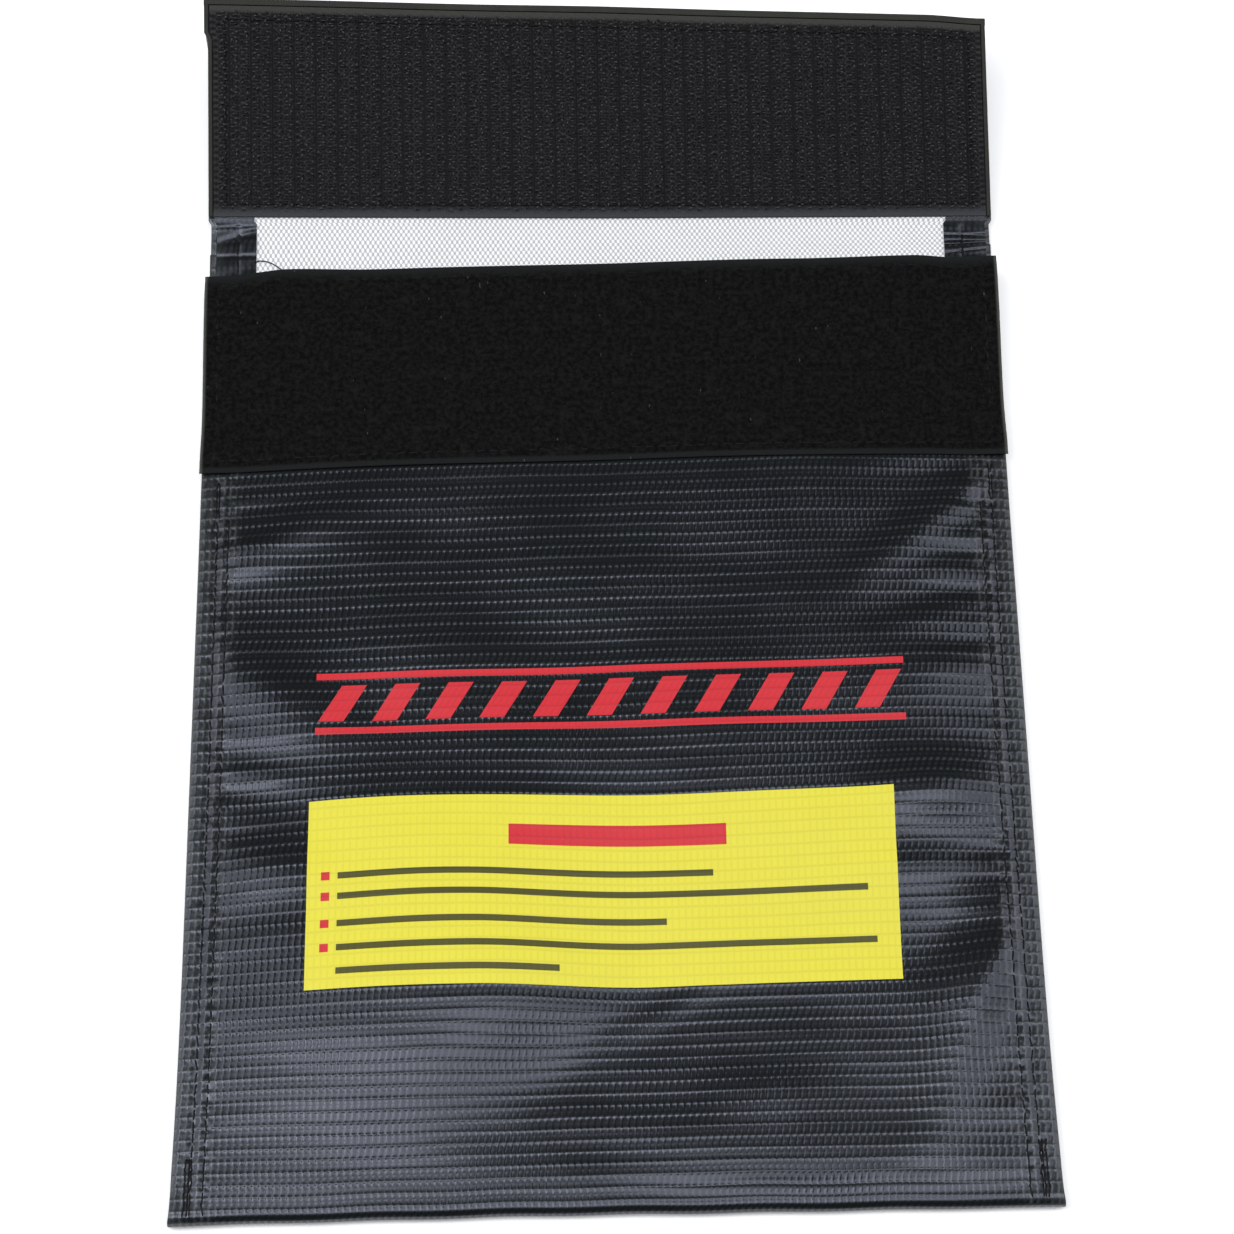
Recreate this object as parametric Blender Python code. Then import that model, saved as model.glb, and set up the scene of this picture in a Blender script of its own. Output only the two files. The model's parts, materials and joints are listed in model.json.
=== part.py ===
"""Flat fabric battery safety pouch with a folding hook-and-loop flap.

Units are metres, +Z is up, +X runs across the pouch and +Y from the bottom fold to the flap.
The pouch lies on its back with the flap open. The neck turns on the lower crease and the flap
turns on the upper crease; both creases run along X.
"""

import math

import bmesh
import bpy
from mathutils import Vector

MM = 0.001

# Pouch outline
HALF_W = 90.0 * MM
SHELL_T = 0.60 * MM
LINING_T = 0.35 * MM
LAYER_GAP = 0.30 * MM
FOLD_OUT_R = 1.85 * MM
FOLD_LEN = 3.0 * MM
SHELL_START_Y = 3.3 * MM
LINING_START_Y = 2.0 * MM
MOUTH_Y = 219.5 * MM
BACK_END_Y = 221.0 * MM
BACK_LINING_END_Y = 220.4 * MM

# Room inside the pouch
SEAM_GAP = 1.20 * MM
BELLY_RISE = 4.2 * MM
MOUTH_RISE = 3.3 * MM
SEAM_X = 82.0 * MM
SEAM_POWER = 6.0
FILL_START_Y = 6.0 * MM
FILL_END_Y = 48.0 * MM
BELLY_END_Y = 120.0 * MM
STRIP_FLAT_Y = 166.0 * MM

# Turned edges and hems
SIDE_HEM_IN_X = 84.6 * MM
SIDE_HEM_T = 0.60 * MM
MOUTH_HEM_LEN = 10.0 * MM

# Hook-and-loop tape
TAPE_W = 50.0 * MM
LOOP_HALF_W = 91.0 * MM
LOOP_T = 0.80 * MM
TAPE_GAP = 0.25 * MM
HOOK_HALF_W = 88.6 * MM
HOOK_T = 0.90 * MM

# Sewing thread
THREAD_T = 0.20 * MM
THREAD_W = 0.50 * MM
THREAD_GAP = 0.20 * MM
OUTER_SEAM_X = 86.0 * MM
INNER_SEAM_X = 83.4 * MM
SEAM_LOW_Y = 14.0 * MM
SEAM_HIGH_Y = 158.0 * MM
TACK_LEN = 9.0 * MM
TACK_W = 1.1 * MM

# Prints
PRINT_T = 0.16 * MM
PRINT_GAP = 0.18 * MM
PANEL_W = 124.4 * MM
PANEL_H = 42.0 * MM
PANEL_X = -1.8 * MM
PANEL_Y = 49.3 * MM
BAND_W = 127.0 * MM
BAND_H = 14.0 * MM
BAND_X = 0.5 * MM
BAND_Y = 107.0 * MM
BAND_RAIL = 1.6 * MM
BAND_BARS = 11
BAND_SLANT = 5.0 * MM

# Neck and flap
CREASE_Y = 221.6 * MM
CREASE_Z = 0.30 * MM
NECK_LEN = 10.8 * MM
NECK_TILT = math.radians(8.0)
FLAP_TILT = math.radians(17.0)
NECK_HALF_W = 88.6 * MM
NECK_HEM_IN_X = 79.4 * MM
NECK_HEM_T = 0.50 * MM
NECK_SEAM_X = 83.6 * MM
NECK_SEAM_END = 2.6 * MM
CREASE_CLEAR = 0.60 * MM
INNER_CLEAR = 1.20 * MM
FLAP_LEN = 52.3 * MM
HOOK_START = 1.90 * MM
FLAP_RIM_W = 0.9 * MM

TIP = FLAP_LEN + 0.3 * MM + FLAP_RIM_W
REACH = (CREASE_Y + NECK_LEN * math.cos(NECK_TILT) + TIP * math.cos(FLAP_TILT)
         + 0.5 * SHELL_T * math.sin(FLAP_TILT))
SHIFT_Y = -0.5 * REACH


def clear_scene():
    for obj in list(bpy.data.objects):
        bpy.data.objects.remove(obj, do_unlink=True)


def make_material(name, color, roughness, sheen=0.0):
    mat = bpy.data.materials.new(name)
    mat.use_nodes = True
    bsdf = mat.node_tree.nodes["Principled BSDF"]
    bsdf.inputs["Base Color"].default_value = (color[0], color[1], color[2], 1.0)
    bsdf.inputs["Roughness"].default_value = roughness
    bsdf.inputs["Sheen Weight"].default_value = sheen
    mat.diffuse_color = (color[0], color[1], color[2], 1.0)
    return mat


def spread(low, high, count):
    return [low + (high - low) * i / count for i in range(count + 1)]


def smooth(value, low, high):
    t = min(1.0, max(0.0, (value - low) / (high - low)))
    return t * t * (3.0 - 2.0 * t)


# Bodies: an empty for each, with its local axes (across, along, above) the sheet. The neck's
# empty lies on the lower crease and the flap's empty on the upper crease.

def add_body(name, parent, location, turn):
    empty = bpy.data.objects.new(name, None)
    empty.empty_display_size = 10.0 * MM
    empty.parent = parent
    empty.location = location
    empty.rotation_euler = (turn, 0.0, 0.0)
    bpy.context.scene.collection.objects.link(empty)
    return empty


def add_bodies():
    pouch = add_body("pouch_body", None, (0.0, SHIFT_Y, 0.0), 0.0)
    neck = add_body("neck_body", pouch, (0.0, CREASE_Y, CREASE_Z), NECK_TILT)
    flap = add_body("flap_body", neck, (0.0, NECK_LEN, 0.0), FLAP_TILT - NECK_TILT)
    return pouch, neck, flap


# Heights of the layers of the pouch.

BACK_LINING_LOW = SHELL_T + LAYER_GAP
BACK_LINING_TOP = BACK_LINING_LOW + LINING_T


def room(x, y):
    """Height of the space between the two linings."""
    across = 1.0 - min(1.0, abs(x) / SEAM_X) ** SEAM_POWER
    fill = smooth(y, FILL_START_Y, FILL_END_Y)
    rise = BELLY_RISE + (MOUTH_RISE - BELLY_RISE) * smooth(y, BELLY_END_Y, STRIP_FLAT_Y)
    return SEAM_GAP + rise * fill * across


def front_lining_low(x, y):
    return BACK_LINING_TOP + room(x, y)


def front_lining_top(x, y):
    return front_lining_low(x, y) + LINING_T


def front_low(x, y):
    return front_lining_top(x, y) + LAYER_GAP


def front_top(x, y):
    return front_low(x, y) + SHELL_T


def loop_low(x, y):
    return front_top(x, y) + TAPE_GAP


def loop_top(x, y):
    return loop_low(x, y) + LOOP_T


def flat(height):
    return lambda x, y: height


def raised(surface, amount):
    return lambda x, y: surface(x, y) + amount


# Neck and flap layers, measured from the crease plane in the middle of the shell.

IN_SHELL = 0.5 * SHELL_T
IN_LINING_LOW = IN_SHELL + LAYER_GAP
IN_LINING_TOP = IN_LINING_LOW + LINING_T
NECK_HEM_LOW = IN_LINING_TOP + TAPE_GAP
HOOK_LOW = IN_LINING_TOP + TAPE_GAP
HOOK_TOP = HOOK_LOW + HOOK_T


def finish(name, bm, mat, body):
    bmesh.ops.recalc_face_normals(bm, faces=bm.faces)
    mesh = bpy.data.meshes.new(name)
    bm.to_mesh(mesh)
    bm.free()
    mesh.materials.append(mat)
    obj = bpy.data.objects.new(name, mesh)
    obj.parent = body
    bpy.context.scene.collection.objects.link(obj)
    return obj


def sheet(name, xs, ys, low, high, mat, body, absent=(), shear=0.0):
    """Closed slab over the grid xs by ys between two height functions."""
    bm = bmesh.new()
    y_mid = 0.5 * (ys[0] + ys[-1])
    cells = {(i, j) for i in range(len(xs) - 1) for j in range(len(ys) - 1)}
    cells -= set(absent)
    verts = {}

    def corner(i, j, top):
        key = (i, j, top)
        if key not in verts:
            x = xs[i] + shear * (ys[j] - y_mid)
            y = ys[j]
            z = high(x, y) if top else low(x, y)
            verts[key] = bm.verts.new((x, y, z))
        return verts[key]

    for i, j in sorted(cells):
        ring = [(i, j), (i + 1, j), (i + 1, j + 1), (i, j + 1)]
        bm.faces.new([corner(a, b, True) for a, b in ring])
        bm.faces.new([corner(a, b, False) for a, b in reversed(ring)])
        steps = [(0, -1), (1, 0), (0, 1), (-1, 0)]
        for k, (di, dj) in enumerate(steps):
            if (i + di, j + dj) in cells:
                continue
            p = ring[k]
            q = ring[(k + 1) % 4]
            bm.faces.new([corner(*p, False), corner(*q, False), corner(*q, True), corner(*p, True)])
    return finish(name, bm, mat, body)


def ribbon(name, path, width, low, high, mat, body, closed=False):
    """Thin band of constant width that follows a path of (x, y) points."""
    bm = bmesh.new()
    count = len(path)
    rows = []
    for k in range(count):
        here = Vector(path[k])
        if closed:
            before = Vector(path[k - 1])
            after = Vector(path[(k + 1) % count])
        else:
            before = Vector(path[max(0, k - 1)])
            after = Vector(path[min(count - 1, k + 1)])
        into = (here - before).normalized() if (here - before).length > 0 else None
        out = (after - here).normalized() if (after - here).length > 0 else into
        into = into or out
        along = (into + out).normalized()
        side = Vector((-along.y, along.x))
        reach = 0.5 * width / max(0.5, side.dot(Vector((-into.y, into.x))))
        left = here + side * reach
        right = here - side * reach
        row = []
        for point, top in ((left, 0), (right, 0), (right, 1), (left, 1)):
            z = high(point.x, point.y) if top else low(point.x, point.y)
            row.append(bm.verts.new((point.x, point.y, z)))
        rows.append(row)
    spans = count if closed else count - 1
    for k in range(spans):
        a = rows[k]
        b = rows[(k + 1) % count]
        for m in range(4):
            n = (m + 1) % 4
            bm.faces.new([a[m], a[n], b[n], b[m]])
    if not closed:
        bm.faces.new(rows[0])
        bm.faces.new(list(reversed(rows[-1])))
    return finish(name, bm, mat, body)


def prism(name, section, x_low, x_high, mat, body):
    """Closed (y, z) section swept along X."""
    bm = bmesh.new()
    near = [bm.verts.new((x_low, y, z)) for y, z in section]
    far = [bm.verts.new((x_high, y, z)) for y, z in section]
    count = len(section)
    for k in range(count):
        n = (k + 1) % count
        bm.faces.new([near[k], near[n], far[n], far[k]])
    half = count // 2
    for side in (near, far):
        for k in range(half - 1):
            bm.faces.new([side[k], side[k + 1], side[count - 2 - k], side[count - 1 - k]])
    return finish(name, bm, mat, body)


def rectangle_path(x_low, x_high, y_low, y_high, nx, ny):
    path = [(x, y_low) for x in spread(x_low, x_high, nx)]
    path += [(x_high, y) for y in spread(y_low, y_high, ny)[1:]]
    path += [(x, y_high) for x in reversed(spread(x_low, x_high, nx)[:-1])]
    path += [(x_low, y) for y in reversed(spread(y_low, y_high, ny)[1:-1])]
    return path


def column_path(x, y_low, y_high, count):
    return [(x, y) for y in spread(y_low, y_high, count)]


# Grid lines that follow the pillow shape: close together near the side seams.

def pouch_columns(half):
    inner = [0.0, 24.0, 44.0, 58.0, 68.0, 75.0, 80.0, 82.0]
    right = [v * MM for v in inner] + [half]
    return [-v for v in reversed(right[1:])] + right


def pouch_rows(low, high):
    inner = [6.0, 14.0, 21.0, 27.0, 33.0, 40.0, 48.0, 84.0, 120.0, 134.0, 148.0, 166.0]
    return [low] + [v * MM for v in inner if low < v * MM < high] + [high]


# Sub-parts of the pouch.

def add_back_shell(mats, body):
    xs = spread(-HALF_W, HALF_W, 4)
    ys = spread(SHELL_START_Y, BACK_END_Y, 4)
    sheet("back_shell", xs, ys, flat(0.0), flat(SHELL_T), mats["vinyl"], body)


def add_back_lining(mats, body):
    half = HALF_W - 0.4 * MM
    xs = spread(-half, half, 4)
    ys = spread(LINING_START_Y, BACK_LINING_END_Y, 4)
    low = flat(BACK_LINING_LOW)
    high = flat(BACK_LINING_TOP)
    sheet("back_lining", xs, ys, low, high, mats["glass_cloth"], body)


def add_front_lining(mats, body):
    xs = pouch_columns(HALF_W - 0.4 * MM)
    ys = pouch_rows(LINING_START_Y, MOUTH_Y - MOUTH_HEM_LEN - LAYER_GAP)
    low = front_lining_low
    sheet("front_lining", xs, ys, low, front_lining_top, mats["glass_cloth"], body)


def add_mouth_hem(mats, body):
    xs = pouch_columns(HALF_W - 0.4 * MM)
    ys = [MOUTH_Y - MOUTH_HEM_LEN, MOUTH_Y - 0.2 * MM]
    sheet("mouth_hem", xs, ys, front_lining_low, front_lining_top, mats["vinyl"], body)


def add_front_shell(mats, body):
    xs = pouch_columns(HALF_W)
    ys = pouch_rows(SHELL_START_Y, MOUTH_Y)
    sheet("front_shell", xs, ys, front_low, front_top, mats["vinyl"], body)


def add_bottom_fold(mats, body):
    r_out = FOLD_OUT_R
    r_in = FOLD_OUT_R - SHELL_T
    steps = 10
    outer = [(FOLD_LEN, 0.0)]
    inner = [(FOLD_LEN, SHELL_T)]
    for k in range(steps + 1):
        turn = -0.5 * math.pi - math.pi * k / steps
        outer.append((r_out + r_out * math.cos(turn), r_out + r_out * math.sin(turn)))
        inner.append((r_out + r_in * math.cos(turn), r_out + r_in * math.sin(turn)))
    outer.append((FOLD_LEN, 2.0 * r_out))
    inner.append((FOLD_LEN, 2.0 * r_out - SHELL_T))
    section = outer + list(reversed(inner))
    prism("bottom_fold", section, -HALF_W, HALF_W, mats["vinyl"], body)


def add_side_hems(mats, body):
    low = flat(BACK_LINING_TOP + LAYER_GAP)
    high = flat(BACK_LINING_TOP + LAYER_GAP + SIDE_HEM_T)
    for name, sign in (("left_side_hem", -1.0), ("right_side_hem", 1.0)):
        xs = sorted([sign * SIDE_HEM_IN_X, sign * (HALF_W - 0.3 * MM)])
        ys = spread(2.6 * MM, MOUTH_Y - 0.3 * MM, 3)
        sheet(name, xs, ys, low, high, mats["vinyl"], body)


def add_loop_strip(mats, body):
    xs = pouch_columns(LOOP_HALF_W)
    ys = [MOUTH_Y - TAPE_W, MOUTH_Y]
    sheet("loop_strip", xs, ys, loop_low, loop_top, mats["loop_pile"], body)


def add_loop_stitching(mats, body):
    path = rectangle_path(-LOOP_HALF_W + 3.2 * MM, LOOP_HALF_W - 3.2 * MM,
                          MOUTH_Y - TAPE_W + 2.8 * MM, MOUTH_Y - 2.8 * MM, 14, 4)
    low = raised(loop_top, THREAD_GAP)
    high = raised(loop_top, THREAD_GAP + THREAD_T)
    ribbon("loop_strip_stitching", path, THREAD_W, low, high, mats["thread"], body, True)


def add_side_seams(mats, body):
    low = raised(front_top, THREAD_GAP)
    high = raised(front_top, THREAD_GAP + THREAD_T)
    rows = (("left_outer_seam", -OUTER_SEAM_X), ("left_inner_seam", -INNER_SEAM_X),
            ("right_inner_seam", INNER_SEAM_X), ("right_outer_seam", OUTER_SEAM_X))
    for name, x in rows:
        path = column_path(x, SEAM_LOW_Y, SEAM_HIGH_Y, 8)
        ribbon(name, path, THREAD_W, low, high, mats["thread"], body)


def add_tacks(mats, body):
    low = raised(front_top, THREAD_GAP)
    high = raised(front_top, THREAD_GAP + 1.5 * THREAD_T)
    gap = 0.5 * MM
    places = (("bottom_left_tack", -1.0, SEAM_LOW_Y - gap - TACK_LEN),
              ("bottom_right_tack", 1.0, SEAM_LOW_Y - gap - TACK_LEN),
              ("top_left_tack", -1.0, SEAM_HIGH_Y + gap),
              ("top_right_tack", 1.0, SEAM_HIGH_Y + gap))
    for name, sign, y in places:
        path = column_path(sign * OUTER_SEAM_X, y, y + TACK_LEN, 2)
        ribbon(name, path, TACK_W, low, high, mats["thread"], body)


def add_instruction_panel(mats, body):
    x_low = PANEL_X - 0.5 * PANEL_W
    x_high = PANEL_X + 0.5 * PANEL_W
    inner = [v * MM for v in (-58.0, -44.0, -24.0, 0.0, 24.0, 44.0, 58.0)]
    xs = [x_low] + [v for v in inner if x_low < v < x_high] + [x_high]
    ys = [PANEL_Y, 84.0 * MM, PANEL_Y + PANEL_H]
    low = raised(front_top, PRINT_GAP)
    high = raised(front_top, PRINT_GAP + PRINT_T)
    sheet("instruction_panel", xs, ys, low, high, mats["yellow_ink"], body)


def add_title_band(mats, body):
    columns = 2 * BAND_BARS - 1
    xs = spread(BAND_X - 0.5 * BAND_W + 0.5 * BAND_SLANT,
                BAND_X + 0.5 * BAND_W - 0.5 * BAND_SLANT, columns)
    ys = [BAND_Y, BAND_Y + BAND_RAIL, BAND_Y + BAND_H - BAND_RAIL, BAND_Y + BAND_H]
    absent = [(i, 1) for i in range(1, columns, 2)]
    low = raised(front_top, PRINT_GAP)
    high = raised(front_top, PRINT_GAP + PRINT_T)
    sheet("title_band", xs, ys, low, high, mats["red_ink"], body, absent,
          BAND_SLANT / BAND_H)


# Sub-parts of the neck.

def add_neck(mats, body):
    xs = spread(-NECK_HALF_W, NECK_HALF_W, 2)
    ys = [CREASE_CLEAR, NECK_LEN - CREASE_CLEAR]
    sheet("neck_shell", xs, ys, flat(-IN_SHELL), flat(IN_SHELL), mats["vinyl"], body)
    half = NECK_HALF_W - 0.4 * MM
    xs = spread(-half, half, 2)
    ys = [INNER_CLEAR, NECK_LEN - INNER_CLEAR]
    low = flat(IN_LINING_LOW)
    high = flat(IN_LINING_TOP)
    sheet("neck_lining", xs, ys, low, high, mats["glass_cloth"], body)
    low = flat(NECK_HEM_LOW)
    high = flat(NECK_HEM_LOW + NECK_HEM_T)
    for side, sign in (("left", -1.0), ("right", 1.0)):
        xs = sorted([sign * NECK_HEM_IN_X, sign * (NECK_HALF_W - 0.2 * MM)])
        sheet("neck_" + side + "_hem", xs, ys, low, high, mats["vinyl"], body)
        path = column_path(sign * NECK_SEAM_X, ys[0] + 0.5 * MM, NECK_LEN - NECK_SEAM_END, 1)
        top = NECK_HEM_LOW + NECK_HEM_T + THREAD_GAP
        ribbon("neck_" + side + "_seam", path, THREAD_W, flat(top), flat(top + THREAD_T),
               mats["thread"], body)


# Sub-parts of the flap.

def add_flap_shell(mats, body):
    xs = spread(-HALF_W, HALF_W, 4)
    ys = [CREASE_CLEAR, FLAP_LEN]
    low = flat(-IN_SHELL)
    sheet("flap_shell", xs, ys, low, flat(IN_SHELL), mats["vinyl"], body)


def add_flap_lining(mats, body):
    half = HOOK_HALF_W - 0.3 * MM
    xs = spread(-half, half, 4)
    ys = [INNER_CLEAR, FLAP_LEN - 0.4 * MM]
    low = flat(IN_LINING_LOW)
    sheet("flap_lining", xs, ys, low, flat(IN_LINING_TOP), mats["glass_cloth"], body)


def add_hook_strip(mats, body):
    xs = spread(-HOOK_HALF_W, HOOK_HALF_W, 4)
    ys = [HOOK_START, HOOK_START + TAPE_W]
    sheet("hook_strip", xs, ys, flat(HOOK_LOW), flat(HOOK_TOP), mats["hook_nylon"], body)


def add_hook_stitching(mats, body):
    path = rectangle_path(-HOOK_HALF_W + 2.6 * MM, HOOK_HALF_W - 2.6 * MM,
                          HOOK_START + 3.4 * MM, HOOK_START + TAPE_W - 3.4 * MM, 4, 2)
    low = flat(HOOK_TOP + THREAD_GAP)
    high = flat(HOOK_TOP + THREAD_GAP + THREAD_T)
    ribbon("hook_strip_stitching", path, THREAD_W, low, high, mats["thread"], body, True)


def add_flap_hems(mats, body):
    low = flat(IN_LINING_LOW)
    high = flat(HOOK_LOW + 0.6 * HOOK_T)
    for name, sign in (("flap_left_hem", -1.0), ("flap_right_hem", 1.0)):
        xs = sorted([sign * (HOOK_HALF_W + 0.3 * MM), sign * (HOOK_HALF_W + 0.3 * MM + FLAP_RIM_W)])
        ys = spread(INNER_CLEAR + 0.6 * MM, FLAP_LEN, 2)
        sheet(name, xs, ys, low, high, mats["vinyl"], body)
    half = HOOK_HALF_W + 0.3 * MM + FLAP_RIM_W
    xs = spread(-half, half, 4)
    ys = [FLAP_LEN + 0.3 * MM, TIP]
    sheet("flap_tip_hem", xs, ys, flat(-IN_SHELL), high, mats["vinyl"], body)


def build():
    clear_scene()
    mats = {
        "vinyl": make_material("vinyl", (0.022, 0.024, 0.028), 0.38),
        "glass_cloth": make_material("glass_cloth", (0.86, 0.86, 0.87), 0.62),
        "loop_pile": make_material("loop_pile", (0.010, 0.010, 0.011), 0.95, 0.3),
        "hook_nylon": make_material("hook_nylon", (0.020, 0.020, 0.022), 0.60),
        "thread": make_material("thread", (0.018, 0.018, 0.020), 0.70),
        "yellow_ink": make_material("yellow_ink", (0.87, 0.78, 0.08), 0.50),
        "red_ink": make_material("red_ink", (0.68, 0.035, 0.045), 0.50),
    }
    pouch, neck, flap = add_bodies()
    add_back_shell(mats, pouch)
    add_back_lining(mats, pouch)
    add_front_lining(mats, pouch)
    add_mouth_hem(mats, pouch)
    add_front_shell(mats, pouch)
    add_bottom_fold(mats, pouch)
    add_side_hems(mats, pouch)
    add_loop_strip(mats, pouch)
    add_loop_stitching(mats, pouch)
    add_side_seams(mats, pouch)
    add_tacks(mats, pouch)
    add_instruction_panel(mats, pouch)
    add_title_band(mats, pouch)
    add_neck(mats, neck)
    add_flap_shell(mats, flap)
    add_flap_lining(mats, flap)
    add_hook_strip(mats, flap)
    add_hook_stitching(mats, flap)
    add_flap_hems(mats, flap)
    bpy.context.view_layer.update()


build()
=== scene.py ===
import math

import bpy
import numpy as np
from mathutils import Euler, Matrix, Vector
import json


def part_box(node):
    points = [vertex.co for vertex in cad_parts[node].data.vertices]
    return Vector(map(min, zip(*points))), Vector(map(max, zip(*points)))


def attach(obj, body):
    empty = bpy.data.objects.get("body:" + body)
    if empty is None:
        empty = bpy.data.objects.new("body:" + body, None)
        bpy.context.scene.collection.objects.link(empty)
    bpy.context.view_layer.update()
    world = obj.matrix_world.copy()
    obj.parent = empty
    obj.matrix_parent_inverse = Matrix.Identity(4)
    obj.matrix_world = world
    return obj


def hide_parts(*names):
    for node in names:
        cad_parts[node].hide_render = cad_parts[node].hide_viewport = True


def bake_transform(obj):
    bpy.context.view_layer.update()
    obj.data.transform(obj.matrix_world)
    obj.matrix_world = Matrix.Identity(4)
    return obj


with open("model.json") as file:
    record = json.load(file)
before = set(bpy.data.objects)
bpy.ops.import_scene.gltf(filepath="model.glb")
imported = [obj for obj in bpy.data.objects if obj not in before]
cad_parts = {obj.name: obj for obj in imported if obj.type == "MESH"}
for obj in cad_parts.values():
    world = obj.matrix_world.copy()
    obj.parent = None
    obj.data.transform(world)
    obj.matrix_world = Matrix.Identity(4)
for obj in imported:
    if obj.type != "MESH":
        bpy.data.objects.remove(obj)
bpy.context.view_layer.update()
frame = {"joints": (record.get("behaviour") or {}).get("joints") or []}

# Everything below is in millimetres until a mesh is made.
MM = 0.001
JOINTS = {j["name"]: [c / MM for c in j["pos_m"]] for j in frame["joints"]}
FOLD_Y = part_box("bottom_fold")[0].y / MM        # the bottom fold, y = 0 of the bag
CREASE = JOINTS["neck_fold"][1] - FOLD_Y        # the lower crease, in bag coordinates
NECK = 10.8                                     # from the lower crease to the upper one
NECK_TILT = math.radians(8.0)
FLAP_TILT = math.radians(17.0)
HALF = 90.0                                     # half the width of the bag
MOUTH = 219.4                                   # where the front panel ends
FOLD_R = 1.85                                   # radius of the bottom fold
OUTER_SEAM, INNER_SEAM = 86.0, 83.4             # the two rows of stitches at each side, from the middle
NECK_SEAM = 83.6                                # the seam on each black edge of the neck
STITCH_PITCH = 2.6
TAPE_LOW, TAPE_HIGH = 169.5, 219.5              # edges of the loop tape
TAPE_WIDE = 91.0                                # half its length: it stands out 1 mm past each side
HOOK_LOW, HOOK_HIGH = NECK + 2.3, NECK + 51.9   # edges of the hook tape, from the lower crease
FLAP_END = NECK + 53.6                          # tip of the flap, from the lower crease
ROW = 2.52                                      # weft rows of the coated mesh
RIB = 1.41                                      # warp ribs of the coated mesh
WEAVE_X, WEAVE_Y = 1.18, 1.64                   # the lining's weave
COLUMNS = 5.0                                   # pitch of the hook tape's groups of four columns
HOOK = 1.45                                     # pitch of the hooks along a column
FIRST_HOOK = HOOK_LOW + 2.0

# Heights of the layers above the middle of the back sheet.
MESH_UNDER, MESH_FACE = -0.3, 0.2
CLOTH_UNDER, CLOTH_FACE = 0.3, 0.5
TURNED_UNDER, TURNED_FACE = 0.62, 0.86
HOOK_UNDER, HOOK_FACE = 0.7, 1.2
FRONT_MESH = 0.55                               # thickness of the front panel
FRONT_INSIDE = 1.15                             # from the front's face down to the underside of its lining
SIDES = ((-1, "left"), (1, "right"))
INK, OVERPRINT = (0.01, 0.07), (0.06, 0.12)     # under and upper face of the prints, above the front


# ---------------------------------------------------------------- numbers

def ramp(value, low, high):
    """0 below low, 1 above high, and smooth between."""
    t = np.clip((value - low) / (high - low), 0.0, 1.0)
    return t * t * (3.0 - 2.0 * t)


def bell(value, centre, width):
    """1 at the centre, falling away over the width."""
    return np.exp(-((value - centre) / width) ** 2)


def waves(x, y, size, seed, count=10, stretch=1.0):
    """Smooth, seeded unevenness of about that size, roughly from -1 to 1; stretch draws it out along x."""
    rng = np.random.RandomState(seed)
    total = 0.0
    for _ in range(count):
        a, k = rng.uniform(0, math.tau), math.tau / (size * rng.uniform(0.7, 1.6))
        total = total + np.sin(k * (x * math.cos(a) * stretch + y * math.sin(a)) + rng.uniform(0, math.tau))
    return total * 0.9 / math.sqrt(count)


def steps(low, high, step, edge=True):
    """Values from low to high about step apart, with closer ones at both ends for a rounded rim."""
    line = np.linspace(low, high, max(2, int(round((high - low) / step)) + 1))
    if edge:
        line = np.unique(np.concatenate([line, [low + 0.08, low + 0.25, high - 0.25, high - 0.08]]))
    return line


# ---------------------------------------------------------------- the shape of the bag

def spine_table():
    """The back sheet seen from the side: it lies flat, bends at the lower crease and again at the upper."""
    length = np.linspace(-4.0, 70.0, 7401)
    tilt = NECK_TILT * ramp(length, -1.5, 1.5)
    tilt = tilt + (FLAP_TILT - NECK_TILT) * ramp(length, NECK - 1.5, NECK + 1.5)
    step = length[1] - length[0]
    y = np.concatenate([[0], np.cumsum(np.cos(tilt[:-1]) * step)]) - 4.0
    z = np.concatenate([[0], np.cumsum(np.sin(tilt[:-1]) * step)])
    return length, y, z, tilt


SPINE = spine_table()


def skew(x, along):
    """How far the cloth is out of square: the bag one way, the flap the other, as it was sewn."""
    flap = np.where(x < 0, 0.0200, 0.0120)
    k = 0.008 - (0.008 + flap) * ramp(along, 0.5, NECK)
    tip = ramp(along, NECK + 3.0, NECK + 56.0)
    return x * k - tip * (0.7 + x * np.where(x < 0, 0.0165, 0.031) + 0.6 * ramp(x, 76.0, 89.0))


def spread_out(x, along):
    """The flap is a little wider than the neck, and wider still at its tip hem."""
    ear = 0.9 * ramp(-x, 84.0, 90.0) * ramp(along, NECK + 44.0, NECK + 45.0)
    return x * (1.0 + 0.007 * ramp(along, NECK + 0.6, NECK + 1.4)) - ear


def back(x, along, n):
    """A point n above the middle of the back sheet, that far along from the lower crease."""
    t = along + skew(x, along)
    t0 = np.clip(t, -4.0, 70.0)
    y = np.interp(t0, SPINE[0], SPINE[1]) + (t - t0)
    z = np.interp(t0, SPINE[0], SPINE[2])
    tilt = np.interp(t0, SPINE[0], SPINE[3])
    s = along - NECK
    lift = 0.9 * ramp(-x, 20.0, 90.0) * ramp(s, 5.0, 55.0)
    lift = lift + 0.25 * waves(x, s, 60.0, 5) * ramp(s, 3.0, 30.0)
    h = n + lift
    y, z = CREASE + FOLD_Y + y - h * np.sin(tilt), z - MESH_UNDER + h * np.cos(tilt)
    return np.stack([spread_out(x, along) + 0 * t, y, z], -1)


def back_from_fold(x, y, n):
    """The same, with y from the bottom fold."""
    return back(x, y - CREASE, n)


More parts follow.
